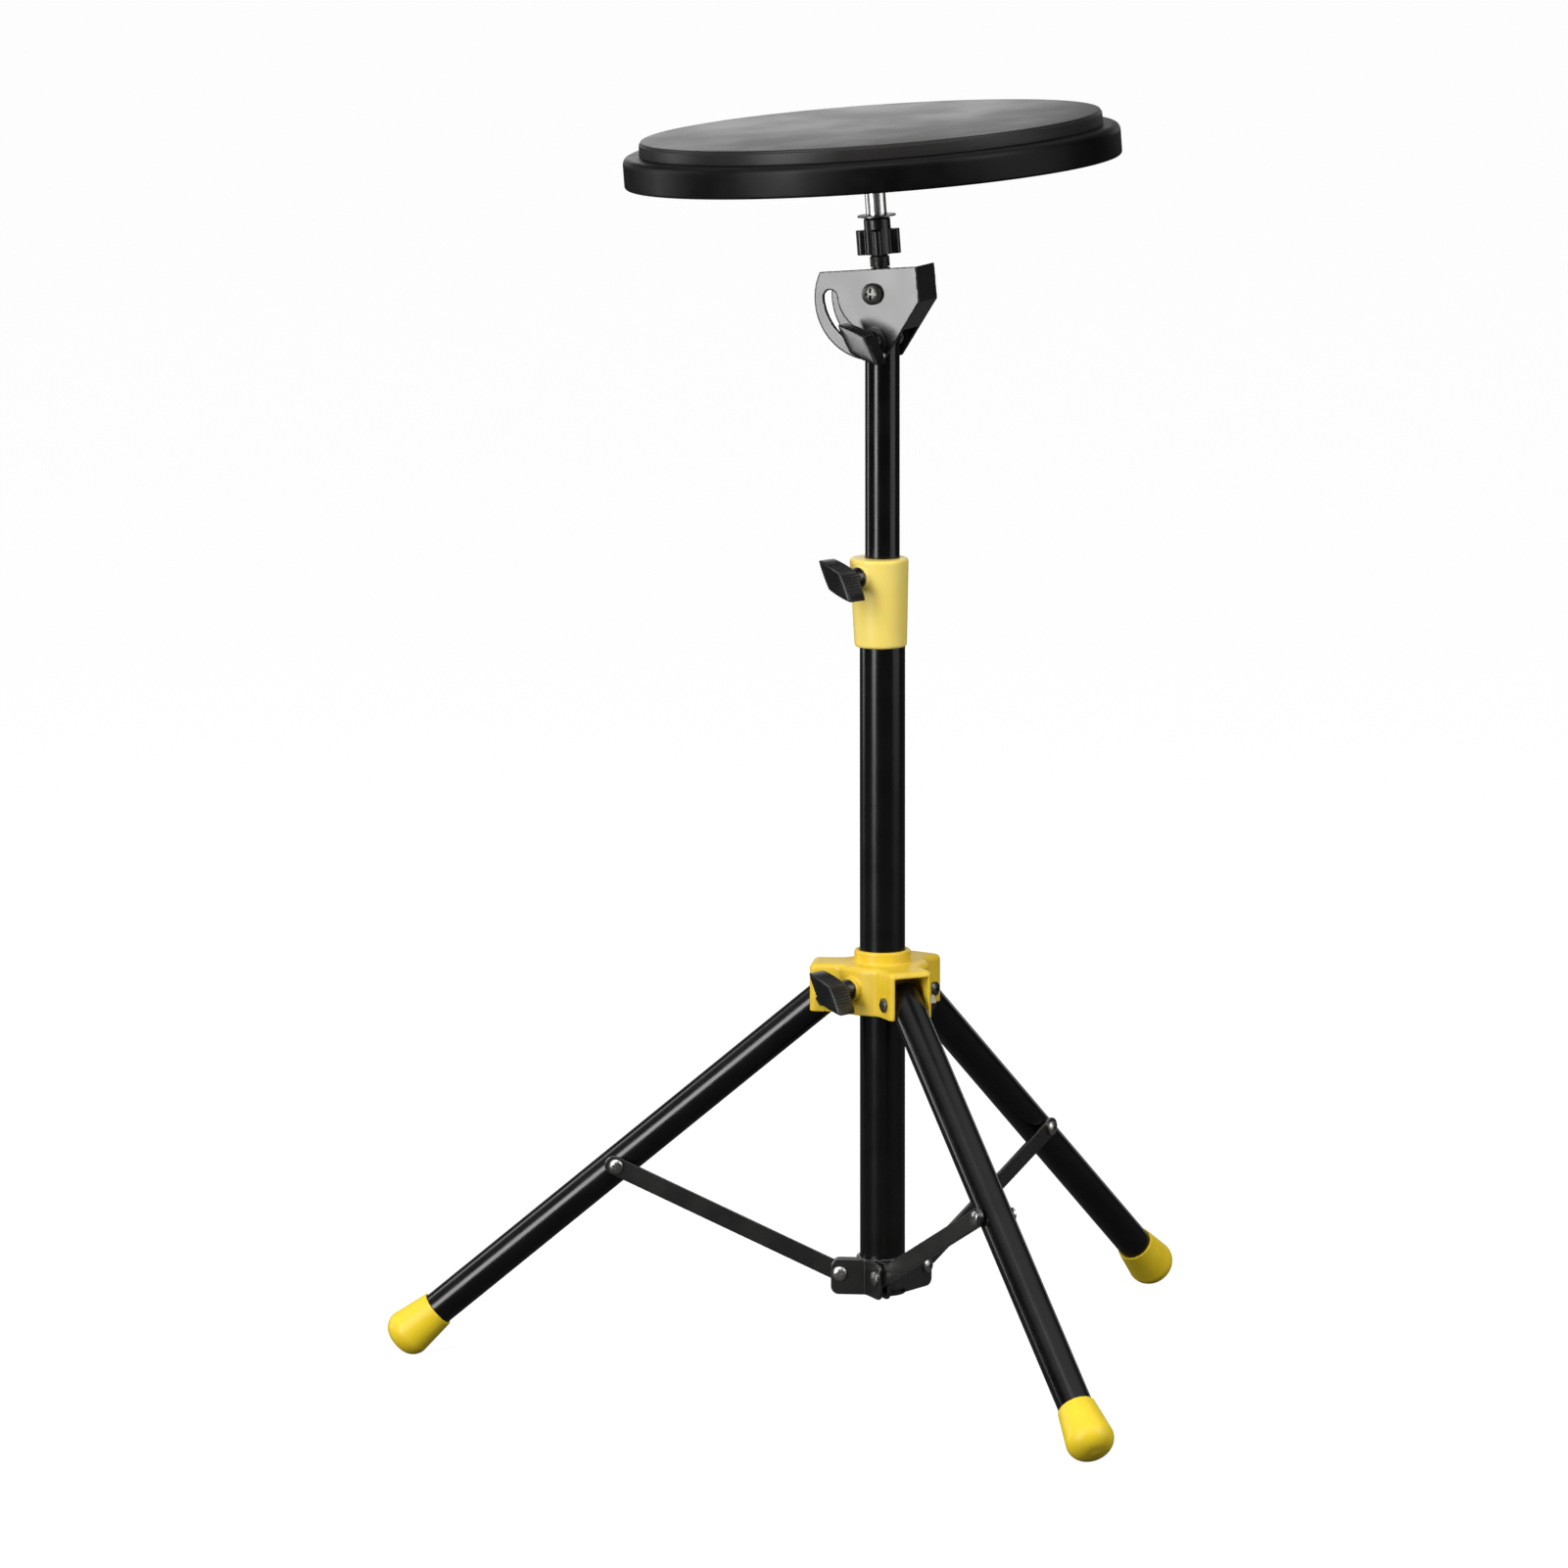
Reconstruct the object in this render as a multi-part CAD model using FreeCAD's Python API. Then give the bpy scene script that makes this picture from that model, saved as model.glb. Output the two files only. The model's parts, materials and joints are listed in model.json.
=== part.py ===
import FreeCAD, Part
import math
import os

# Drum practice pad on a folding tripod stand.
# Units are millimetres and degrees.  +Z is up, +X is to the right and +Y to the back; the origin is
# on the floor, on the axis of the column.

V = FreeCAD.Vector
ORIGIN = V(0, 0, 0)
X = V(1, 0, 0)
Y = V(0, 1, 0)
Z = V(0, 0, 1)

# ---- column -------------------------------------------------------------------------------
LOWER_R = 12.5          # lower tube, outside radius
LOWER_BORE_R = 11.0
LOWER_BOTTOM_Z = 44.0
LOWER_TOP_Z = 436.0
UPPER_R = 9.5           # upper tube, outside radius
UPPER_BORE_R = 8.2
UPPER_BOTTOM_Z = 225.0
GLIDE_R = 10.8          # bush on the foot of the upper tube
RUNNING_FIT = 0.08      # radial clearance of a piece that slides or turns on another
GAP = 0.3               # clearance between pieces that only pass each other

# ---- height clamp -------------------------------------------------------------------------
CLAMP_BOTTOM_Z = 403.3
CLAMP_TOP_Z = 452.6
CLAMP_BOTTOM_R = 14.4
CLAMP_TOP_R = 16.3
CLAMP_BOTTOM_SHIFT = 1.4    # the sleeve leans out towards its wing bolt
CLAMP_TOP_SHIFT = 2.8
CLAMP_BOLT_Z = 443.0
CLAMP_RIM_R = 1.6           # rounded rims
CLAMP_BOSS_R = 6.4
CLAMP_BOSS_OUT = 0.6        # boss beyond the sleeve
WING_AZIMUTH = 228.0        # both column wing bolts point this way

# ---- tripod -------------------------------------------------------------------------------
LEG_NAMES = ("left", "front", "right")
LEG_AZIMUTHS = (174.45, 294.45, 54.45)
BRACE_SIDES = (1, -1, -1)   # which flank of its leg each brace lies on
LEG_ANGLE = 50.1            # from vertical, spread
LEG_R = 9.5
LEG_BORE_R = 8.2
HINGE_R = 31.0              # leg hinge: distance from the axis and height
HINGE_Z = 208.5
LEG_TOP = 7.0               # tube beyond the hinge
LEG_LENGTH = 304.4          # hinge to the tube's lower end
LEG_BRACE_AT = 152.0        # hinge to the brace pivot
FORK_R = 22.5               # brace's lower pivot: distance from the axis and height
FORK_Z = 53.5
BRACE_WIDTH = 10.5
BRACE_THICK = 2.0
BRACE_END = 6.5             # brace beyond its upper pivot
BRACE_OFFSET = LEG_R + GAP + BRACE_THICK / 2
PLUG_DEPTH = 20.0
FOOT_RIM_R = 10.6           # rubber foot: radius at its open rim and over its round end
FOOT_END_R = 13.3
FOOT_CORNER_R = 9.5         # round shoulder of the end, and its centre from the hinge
FOOT_REACH = 306.3
FOOT_DOME = 0.6
FOOT_SLEEVE = 19.5          # how far the foot reaches up the leg
PIVOT_SHANK_R = 2.5         # M5 pivot screws
PIVOT_HEAD_R = 4.0
PIVOT_HEAD_H = 2.4
RIVET_HEAD_H = 2.0
SCREW_TIP = 0.5             # screws stand out of their nuts by this much
NUT_R = 4.6                 # M5 nut, across corners / 2
NUT_H = 3.5

# ---- sliding hub --------------------------------------------------------------------------
HUB_BOTTOM_Z = 200.5
HUB_TOP_Z = 227.2
HUB_COLLAR_Z = 234.2
HUB_COLLAR_R = 15.6
HUB_BODY_R = 25.5
HUB_ARM_END = 39.5
HUB_ARM_HALF = 12.8
HUB_SLOT_HALF = 9.9
HUB_SLOT_START = 18.4
HUB_ROOF_Z = 223.8
HUB_BOLT_Z = 214.8
HUB_BOSS_R = 6.6            # round boss under the hub's wing bolt
HUB_BOSS_OUT = 2.5
HUB_CORNER_R = 3.5          # arm's outer corners, inner corners and top rim
HUB_FILLET_R = 6.0
HUB_RIM_R = 3.0

# ---- foot bracket -------------------------------------------------------------------------
COLLAR_R = 14.5
COLLAR_TOP_Z = 61.7
EAR_BOTTOM_Z = 41.6
EAR_TIP = 27.5
EAR_THICK = 2.0
EAR_GAP = 3.0

# ---- tilter head --------------------------------------------------------------------------
PIVOT_Z = 599.0
HEAD_YAW = -24.0            # the head's right-hand direction, about the column
HEAD_TILT = 5.4             # right side up
SHEET = 2.5
HEAD_HALF = UPPER_R + 2 * GAP + SHEET   # half the bracket's outside width
HEAD_TOP = 13.6             # pivot to the top of the bracket
HEAD_EDGE_R = 33.4          # round edge of the side plates, and its centre from the pivot
HEAD_EDGE_X = -2.2
HEAD_EDGE_Z = -3.2
HEAD_RIGHT = 26.9
HEAD_KNEE = -6.0            # where the right edge turns inwards
HEAD_FOOT = 279.7           # where the round edge ends, as an angle about its centre
WEB_LENGTH = 19.0           # web below the knee
SLOT_R = 26.0
SLOT_HALF = 4.1
SLOT_FROM = -87.0           # slot's ends, as angles about the pivot
SLOT_TO = -178.5
HEAD_SHANK_R = 3.0          # M6 pivot bolt and wing screws
HEAD_NUT_R = 5.8            # M6 nut, across corners / 2
HEAD_NUT_H = 5.0
HEAD_SEAT = 0.1             # play between the bracket and what clamps it
TILT_WASHER_R = 8.0
TILT_WASHER_H = 1.4
BOLT_END = 6.5              # bolts stand out of the far plate by this much
PIVOT_BOLT_HEAD_R = 5.9
PIVOT_BOLT_HEAD_H = 3.6
UPPER_TOP_Z = PIVOT_Z + 5.0

# ---- stud, lock knob and pad, measured from the pivot along the head's axis ---------------
STUD_LEAN_RIGHT = 1.6       # the stud stands slightly off square on the bracket
STUD_LEAN_FRONT = 1.5
SHOULDER_R = 5.5
SHOULDER_TOP = 20.5
STUD_R = 4.0                # M8
STUD_TOP = 57.0
KNOB_TOP = 41.3
KNOB_R = 7.3
KNOB_WING_R = 12.0
KNOB_WING_TOP = 34.4
KNOB_WING_HALF = 2.6
WASHER_R = 10.5
WASHER_TOP = 42.4
FLANGE_R = 32.0
FLANGE_THICK = 2.5
BARREL_R = 5.7
BASE_BOTTOM = 66.7
BASE_R = 136.2
BASE_H = 17.0
RUBBER_R = 127.0
RUBBER_H = 8.0
FLANGE_SCREW_CIRCLE = 23.0
FLANGE_SCREW_R = 2.5        # M5 cap screws
FLANGE_SCREW_LENGTH = 14.0
FLANGE_WASHER_R = 5.5
FLANGE_WASHER_H = 1.0
INSERT_R = 4.2
INSERT_H = 12.0

# ---- wing bolts ---------------------------------------------------------------------------
WING_BOSS_R = 5.9           # round skirt on the seat
WING_NECK_R = 5.3
WING_LOW = 6.5              # lozenge grip: bottom, top, half length and half width
WING_HEIGHT = 20.0
WING_SPAN = 15.7
WING_HALF = 6.7
WING_TIP_R = 2.2
WING_TURN = 42.0            # grip's lean from level, down to the right
WING_BORE = 12.0            # depth of the screw in the head
WING_PLAY = 0.1             # the head stands off its seat
CLAMP_SEAT = CLAMP_TOP_R + CLAMP_TOP_SHIFT + CLAMP_BOSS_OUT + WING_PLAY
HUB_SEAT = HUB_BODY_R + HUB_BOSS_OUT + WING_PLAY
TILT_SEAT = HEAD_HALF + HEAD_SEAT + TILT_WASHER_H


def rod(radius, start, end, along=Z, centre=ORIGIN):
    return Part.makeCylinder(radius, end - start, centre + along * start, along)


def pipe(outer, inner, start, end, along=Z, centre=ORIGIN):
    return rod(outer, start, end, along, centre).cut(rod(inner, start - 1, end + 1, along, centre))


def block(x0, x1, y0, y1, z0, z1):
    return Part.makeBox(x1 - x0, y1 - y0, z1 - z0, V(x0, y0, z0))


def hexagon(corner_r, start, end):
    points = [V(corner_r * math.cos(math.radians(a)), corner_r * math.sin(math.radians(a)), start)
              for a in range(0, 361, 60)]
    return Part.Face(Part.makePolygon(points)).extrude(Z * (end - start))


def turned(edges):
    """Solid of revolution about Z from a closed outline of edges in the XZ plane."""
    return Part.Face(Part.Wire(edges)).revolve(ORIGIN, Z, 360)


def line(a, b):
    return Part.LineSegment(V(a[0], 0, a[1]), V(b[0], 0, b[1])).toShape()


def arc(a, middle, b):
    return Part.Arc(V(a[0], 0, a[1]), V(middle[0], 0, middle[1]), V(b[0], 0, b[1])).toShape()


def outline(points):
    closed = list(points) + [points[0]]
    return [line(a, b) for a, b in zip(closed, closed[1:])]


def placed(shape, position, rotation=FreeCAD.Rotation()):
    copy = shape.copy()
    copy.Placement = FreeCAD.Placement(position, rotation).multiply(copy.Placement)
    return copy


def about(axis, degrees):
    return FreeCAD.Rotation(axis, degrees)


def pointing(shape, direction):
    """Turn a piece built along +Z to point along another direction."""
    return placed(shape, ORIGIN, FreeCAD.Rotation(Z, direction))


# ---- frames: where each sub-assembly's own axes sit on the whole ----------------------------
def at_column(shape, azimuth):
    """Local X is outwards from the column."""
    return placed(shape, ORIGIN, about(Z, azimuth))


def at_leg(shape, azimuth):
    """Local -Z runs down the leg from its hinge, local Y is the hinge axis."""
    spread = placed(shape, V(HINGE_R, 0, HINGE_Z), about(Y, -LEG_ANGLE))
    return at_column(spread, azimuth)


def at_brace(shape, azimuth):
    """Local +Z runs up the brace from its lower pivot, local Y is the pivot axis."""
    raised = placed(shape, V(FORK_R, 0, FORK_Z), about(Y, BRACE_ANGLE))
    return at_column(raised, azimuth)


def at_yoke(shape):
    """Upper tube's frame at the tilt pivot: local X to the right, local -Y to the wing bolt."""
    return placed(shape, V(0, 0, PIVOT_Z), about(Z, HEAD_YAW))


def at_head(shape):
    """Tilting frame: the same, leant back by the tilt."""
    return at_yoke(placed(shape, ORIGIN, about(Y, -HEAD_TILT)))


def leant(shape):
    """The stud's lean about the point where it stands on the bracket."""
    turn = about(Y, STUD_LEAN_RIGHT).multiply(about(X, STUD_LEAN_FRONT))
    return placed(placed(shape, Z * -HEAD_TOP), Z * HEAD_TOP, turn)


def at_stud(shape):
    return at_head(leant(shape))


def brace_geometry():
    """Length of a brace and its angle from vertical, from its two pivots."""
    spread = math.radians(LEG_ANGLE)
    run = HINGE_R + LEG_BRACE_AT * math.sin(spread) - FORK_R
    rise = HINGE_Z - LEG_BRACE_AT * math.cos(spread) - FORK_Z
    return math.hypot(run, rise), math.degrees(math.atan2(run, rise))


BRACE_LENGTH, BRACE_ANGLE = brace_geometry()


# ---- fasteners ------------------------------------------------------------------------------
def pan_head(radius, height):
    """Domed screw head with a cross recess, its seat at z = 0."""
    crown = height * 0.45
    rim = (radius, height - crown)
    top = (0, height)
    bulge = (radius * 0.72, height - crown * 0.35)
    head = turned([line((0, 0), (radius, 0)), line((radius, 0), rim), arc(rim, bulge, top),
                   line(top, (0, 0))])
    arm = radius * 0.55
    blade = radius * 0.12
    deep = height * 0.45
    return head.cut(block(-arm, arm, -blade, blade, deep, height + 1)).cut(
        block(-blade, blade, -arm, arm, deep, height + 1))


def pivot_screw(length):
    """Cross-head screw: seat at z = 0, head above, shank below."""
    return pan_head(PIVOT_HEAD_R, PIVOT_HEAD_H).fuse(rod(PIVOT_SHANK_R, -length, 0))


def nut(corner_r, bore_r, height):
    """Plain nut from z = 0 upwards."""
    return hexagon(corner_r, 0, height).cut(rod(bore_r, -1, height + 1))


def cap_screw(radius, length):
    """Socket-head screw: seat at z = 0, shank up, head down."""
    head = rod(radius * 1.7, -radius * 2, 0).cut(placed(hexagon(radius * 0.95, 0, radius * 1.2),
                                                        V(0, 0, -radius * 2)))
    return head.fuse(rod(radius, 0, length))


# ---- pad ------------------------------------------------------------------------------------
def playing_surface():
    low = BASE_BOTTOM + BASE_H
    high = low + RUBBER_H
    ease = 1.0
    return turned(outline([(0, low), (RUBBER_R, low), (RUBBER_R - 0.5, high - ease),
                           (RUBBER_R - ease - 0.5, high), (0, high)]))


def base_board():
    low = BASE_BOTTOM
    high = low + BASE_H
    foot = 2.0
    shoulder = 4.5
    turn = math.sqrt(0.5)
    a = (BASE_R - foot, low)
    b = (BASE_R, low + foot)
    c = (BASE_R, high - shoulder)
    d = (BASE_R - shoulder, high)
    foot_mid = (BASE_R - foot + foot * turn, low + foot - foot * turn)
    shoulder_mid = (BASE_R - shoulder + shoulder * turn, high - shoulder + shoulder * turn)
    board = turned([line((0, low), a), arc(a, foot_mid, b), line(b, c), arc(c, shoulder_mid, d),
                    line(d, (0, high)), line((0, high), (0, low))])
    for spot in flange_spots():
        board = board.cut(rod(INSERT_R, low - 1, low + INSERT_H, Z, spot))
    return board


def flange_spots():
    angles = (45, 135, 225, 315)
    return [V(FLANGE_SCREW_CIRCLE * math.cos(math.radians(a)),
              FLANGE_SCREW_CIRCLE * math.sin(math.radians(a)), 0) for a in angles]


def base_inserts():
    low = BASE_BOTTOM
    return Part.makeCompound([pipe(INSERT_R, FLANGE_SCREW_R, low, low + INSERT_H, Z, spot)
                              for spot in flange_spots()])


def flange_plate():
    low = BASE_BOTTOM - FLANGE_THICK
    plate = pipe(FLANGE_R, BARREL_R, low, BASE_BOTTOM)
    for spot in flange_spots():
        plate = plate.cut(rod(FLANGE_SCREW_R + GAP, low - 1, BASE_BOTTOM + 1, Z, spot))
    return plate


def flange_barrel():
    return pipe(BARREL_R, STUD_R + RUNNING_FIT, WASHER_TOP + 0.1, BASE_BOTTOM)


def flange_washers():
    high = BASE_BOTTOM - FLANGE_THICK
    return Part.makeCompound([pipe(FLANGE_WASHER_R, FLANGE_SCREW_R + GAP, high - FLANGE_WASHER_H,
                                    high, Z, spot)
                              for spot in flange_spots()])


def flange_screws():
    seat = BASE_BOTTOM - FLANGE_THICK - FLANGE_WASHER_H
    return Part.makeCompound([placed(cap_screw(FLANGE_SCREW_R, FLANGE_SCREW_LENGTH), spot + Z * seat)
                              for spot in flange_spots()])


# ---- stud and lock knob ---------------------------------------------------------------------
def head_stud():
    bottom = HEAD_TOP - SHEET
    seat = HEAD_TOP + GAP
    spigot = rod(STUD_R, bottom, seat)
    shoulder = rod(SHOULDER_R, seat, SHOULDER_TOP)
    return spigot.fuse([shoulder, rod(STUD_R, SHOULDER_TOP, STUD_TOP)])


def jam_washer():
    return pipe(WASHER_R, STUD_R + RUNNING_FIT, WASHER_TOP - 0.9, WASHER_TOP)


def knob_wing():
    low = SHOULDER_TOP + 0.2
    blade = block(0, KNOB_WING_R - KNOB_WING_HALF, -KNOB_WING_HALF, KNOB_WING_HALF, low, KNOB_WING_TOP)
    tip = rod(KNOB_WING_HALF, low, KNOB_WING_TOP, Z, X * (KNOB_WING_R - KNOB_WING_HALF))
    return blade.fuse(tip)


def lock_knob():
    low = SHOULDER_TOP + 0.2
    ease = 1.2
    barrel = turned(outline([(0, low), (KNOB_R, low), (KNOB_R, KNOB_TOP - ease),
                             (KNOB_R - ease, KNOB_TOP), (0, KNOB_TOP)]))
    wings = [placed(knob_wing(), ORIGIN, about(Z, a)) for a in (20, 110, 200, 290)]
    body = barrel.fuse(wings).removeSplitter()
    return body.cut(rod(SHOULDER_R, low - 1, KNOB_TOP + 1))


def knob_insert():
    return pipe(SHOULDER_R, STUD_R + RUNNING_FIT, SHOULDER_TOP + 0.2, KNOB_TOP)


# ---- tilter bracket -------------------------------------------------------------------------
def polar(radius, degrees):
    return (radius * math.cos(math.radians(degrees)), radius * math.sin(math.radians(degrees)))


def edge_point(degrees):
    x, z = polar(HEAD_EDGE_R, degrees)
    return (HEAD_EDGE_X + x, HEAD_EDGE_Z + z)


EDGE_START = 180 - math.degrees(math.asin((HEAD_TOP - HEAD_EDGE_Z) / HEAD_EDGE_R))


def side_plate(y0, y1):
    """Side plate: flat top, straight right edge, slanted shoulder, round lower left edge."""
    top_left = edge_point(EDGE_START)
    foot = edge_point(HEAD_FOOT)
    edges = [line(top_left, (HEAD_RIGHT, HEAD_TOP)),
             line((HEAD_RIGHT, HEAD_TOP), (HEAD_RIGHT, HEAD_KNEE)),
             line((HEAD_RIGHT, HEAD_KNEE), foot),
             arc(foot, edge_point((EDGE_START + HEAD_FOOT) / 2), top_left)]
    plate = Part.Face(Part.Wire(edges)).extrude(Y * (y1 - y0)).translated(Y * y0)
    return plate.cut(arc_slot(y0 - 1, y1 + 1)).cut(
        rod(HEAD_SHANK_R + RUNNING_FIT, y0 - 1, y1 + 1, Y))


def arc_slot(y0, y1):
    """Curved slot about the pivot for the wing screw."""
    inner = SLOT_R - SLOT_HALF
    outer = SLOT_R + SLOT_HALF
    middle = (SLOT_FROM + SLOT_TO) / 2
    band = Part.Face(Part.Wire([arc(polar(outer, SLOT_FROM), polar(outer, middle), polar(outer, SLOT_TO)),
                                line(polar(outer, SLOT_TO), polar(inner, SLOT_TO)),
                                arc(polar(inner, SLOT_TO), polar(inner, middle), polar(inner, SLOT_FROM)),
                                line(polar(inner, SLOT_FROM), polar(outer, SLOT_FROM))]))
    slot = band.extrude(Y * (y1 - y0)).translated(Y * y0)
    for angle in (SLOT_FROM, SLOT_TO):
        x, z = polar(SLOT_R, angle)
        slot = slot.fuse(rod(SLOT_HALF, y0, y1, Y, V(x, 0, z)))
    return slot


def tilt_bracket():
    """One folded sheet: two side plates, a top and a web down the right-hand side."""
    inside = HEAD_HALF - SHEET
    left = edge_point(EDGE_START)[0]
    top = block(left, HEAD_RIGHT, -HEAD_HALF, HEAD_HALF, HEAD_TOP - SHEET, HEAD_TOP)
    foot = edge_point(HEAD_FOOT)
    slant = V(foot[0] - HEAD_RIGHT, 0, foot[1] - HEAD_KNEE).normalize()
    inwards = V(slant.z, 0, -slant.x)
    web_end = V(HEAD_RIGHT, 0, HEAD_KNEE) + slant * WEB_LENGTH
    knee = V(HEAD_RIGHT, 0, HEAD_KNEE)
    half_bend = math.atan2(-slant.x, -slant.z) / 2
    inner_knee = V(HEAD_RIGHT - SHEET, 0, HEAD_KNEE + SHEET * math.tan(half_bend))
    inner_end = web_end + inwards * SHEET
    points = [V(HEAD_RIGHT, 0, HEAD_TOP), knee, web_end, inner_end, inner_knee,
              V(HEAD_RIGHT - SHEET, 0, HEAD_TOP), V(HEAD_RIGHT, 0, HEAD_TOP)]
    web = Part.Face(Part.makePolygon(points)).extrude(Y * 2 * HEAD_HALF).translated(Y * -HEAD_HALF)
    sheet = side_plate(-HEAD_HALF, -inside).fuse([side_plate(inside, HEAD_HALF), top, web])
    sheet = sheet.removeSplitter()
    return sheet.cut(leant(rod(STUD_R, HEAD_TOP - SHEET - 1, HEAD_TOP + 1)))


def pivot_bolt():
    head = placed(pan_head(PIVOT_BOLT_HEAD_R, PIVOT_BOLT_HEAD_H), Z * (HEAD_HALF + HEAD_SEAT))
    shank = rod(HEAD_SHANK_R, -HEAD_HALF - BOLT_END, HEAD_HALF + HEAD_SEAT)
    return pointing(head.fuse(shank), V(0, -1, 0))


def head_nut(bore_r):
    seat = Z * (HEAD_HALF + HEAD_SEAT)
    return pointing(placed(nut(HEAD_NUT_R, bore_r, HEAD_NUT_H), seat), Y)


def pivot_nut():
    return head_nut(HEAD_SHANK_R)


def tilt_nut():
    """Nut on the far side of the slot; the wing bolt's screw turns in it."""
    return placed(head_nut(HEAD_SHANK_R + RUNNING_FIT), Z * -SLOT_R)


# ---- wing bolts, built along +Z with the seat at z = 0 ----------------------------------------
def wing_grip():
    """Long lozenge with rounded corners, its length along X."""
    flank = WING_SPAN * 0.12
    corners = [(WING_SPAN, 0), (flank, WING_HALF), (-flank, WING_HALF),
               (-WING_SPAN, 0), (-flank, -WING_HALF), (flank, -WING_HALF)]
    points = [V(x, y, WING_LOW) for x, y in corners + corners[:1]]
    grip = Part.Face(Part.makePolygon(points)).extrude(Z * (WING_HEIGHT - WING_LOW))
    upright = [e for e in grip.Edges if abs(e.tangentAt(e.FirstParameter).z) > 0.99]
    grip = grip.makeFillet(WING_TIP_R, upright)
    rims = [e for e in grip.Edges if e.BoundBox.ZLength < 0.01]
    return grip.makeFillet(0.7, rims)


def wing_head():
    skirt = Part.makeCone(WING_BOSS_R, WING_NECK_R, WING_LOW + 1)
    head = skirt.fuse(wing_grip()).removeSplitter()
    return head.cut(rod(HEAD_SHANK_R, -1, WING_BORE))


def column_wing(shape, seat, height):
    """Put a wing bolt piece on the column, its seat this far from the axis."""
    turned_piece = placed(shape, ORIGIN, about(Z, 90 - WING_TURN))
    aimed = placed(turned_piece, V(seat, 0, height), about(Y, 90))
    return at_column(aimed, WING_AZIMUTH)


def wing_screw(seat, tip):
    return rod(HEAD_SHANK_R, tip - seat, WING_BORE)


def tilt_wing(shape):
    turned_piece = placed(shape, ORIGIN, about(Z, -WING_TURN))
    aimed = pointing(placed(turned_piece, Z * TILT_SEAT), V(0, -1, 0))
    return at_yoke(placed(aimed, Z * -SLOT_R))


def tilt_washer():
    ring = pipe(TILT_WASHER_R, HEAD_SHANK_R, HEAD_HALF + HEAD_SEAT, TILT_SEAT)
    return at_yoke(placed(pointing(ring, V(0, -1, 0)), Z * -SLOT_R))


# ---- tubes ----------------------------------------------------------------------------------
def upper_tube():
    tube = pipe(UPPER_R, UPPER_BORE_R, UPPER_BOTTOM_Z, UPPER_TOP_Z)
    for height in (0, -SLOT_R):
        hole = rod(HEAD_SHANK_R + 0.05, -20, 20, Y, V(0, 0, height))
        tube = tube.cut(at_yoke(hole))
    return tube


def tube_glide():
    flange = rod(GLIDE_R, UPPER_BOTTOM_Z - 10, UPPER_BOTTOM_Z - 0.1)
    spigot = rod(UPPER_BORE_R - RUNNING_FIT, UPPER_BOTTOM_Z - 1, UPPER_BOTTOM_Z + 12)
    return flange.fuse(spigot)


def lower_tube():
    return pipe(LOWER_R, LOWER_BORE_R, LOWER_BOTTOM_Z, LOWER_TOP_Z)


def column_plug():
    cap = rod(LOWER_R, LOWER_BOTTOM_Z - 3.5, LOWER_BOTTOM_Z)
    return cap.fuse(rod(LOWER_BORE_R, LOWER_BOTTOM_Z, LOWER_BOTTOM_Z + 12))


def clamp_collar():
    lean = V(math.cos(math.radians(WING_AZIMUTH)), math.sin(math.radians(WING_AZIMUTH)), 0)
    low = Part.makeCircle(CLAMP_BOTTOM_R, lean * CLAMP_BOTTOM_SHIFT + Z * CLAMP_BOTTOM_Z, Z)
    high = Part.makeCircle(CLAMP_TOP_R, lean * CLAMP_TOP_SHIFT + Z * CLAMP_TOP_Z, Z)
    sleeve = Part.makeLoft([Part.Wire(low), Part.Wire(high)], True, True)
    rims = [e for e in sleeve.Edges if abs(e.BoundBox.ZLength) < 0.01]
    sleeve = sleeve.makeFillet(CLAMP_RIM_R, rims)
    face = CLAMP_TOP_R + CLAMP_TOP_SHIFT + CLAMP_BOSS_OUT
    boss = at_column(rod(CLAMP_BOSS_R, LOWER_R, face, X, Z * CLAMP_BOLT_Z), WING_AZIMUTH)
    sleeve = sleeve.fuse(boss).removeSplitter()
    sleeve = sleeve.cut(rod(LOWER_R, CLAMP_BOTTOM_Z - 1, LOWER_TOP_Z))
    sleeve = sleeve.cut(rod(UPPER_R + RUNNING_FIT, LOWER_TOP_Z - 1, CLAMP_TOP_Z + 1))
    bolt_hole = rod(HEAD_SHANK_R + RUNNING_FIT, 5, face + 1, X, Z * CLAMP_BOLT_Z)
    return sleeve.cut(at_column(bolt_hole, WING_AZIMUTH))


# ---- hub ------------------------------------------------------------------------------------
def hub_arm():
    arm = block(0, HUB_ARM_END, -HUB_ARM_HALF, HUB_ARM_HALF, HUB_BOTTOM_Z, HUB_TOP_Z)
    outer = [e for e in arm.Edges
             if abs(e.tangentAt(e.FirstParameter).z) > 0.99 and e.BoundBox.XMin > HUB_ARM_END - 1]
    return arm.makeFillet(HUB_CORNER_R, outer)


def hub_body():
    """Round boss with three arms, blended where they meet and eased along the top."""
    body = rod(HUB_BODY_R, HUB_BOTTOM_Z, HUB_TOP_Z)
    body = body.fuse([at_column(hub_arm(), a) for a in LEG_AZIMUTHS]).removeSplitter()
    reentrant = [e for e in body.Edges
                 if abs(e.tangentAt(e.FirstParameter).z) > 0.99
                 and abs(e.BoundBox.Center.sub(Z * e.BoundBox.Center.z).Length - HUB_BODY_R) < 0.5
                 and e.BoundBox.ZLength > 20]
    body = body.makeFillet(HUB_FILLET_R, reentrant)
    rim = [e for e in body.Edges if e.BoundBox.ZMin > HUB_TOP_Z - 0.01]
    return body.makeFillet(HUB_RIM_R, rim)


def leg_slot():
    slot = block(HUB_SLOT_START, HUB_ARM_END + 5, -HUB_SLOT_HALF, HUB_SLOT_HALF,
                 HUB_BOTTOM_Z - 1, HUB_ROOF_Z)
    bolt = rod(PIVOT_SHANK_R, -HUB_ARM_HALF - 1, HUB_ARM_HALF + 1, Y, V(HINGE_R, 0, HINGE_Z))
    return slot.fuse(bolt)


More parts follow.
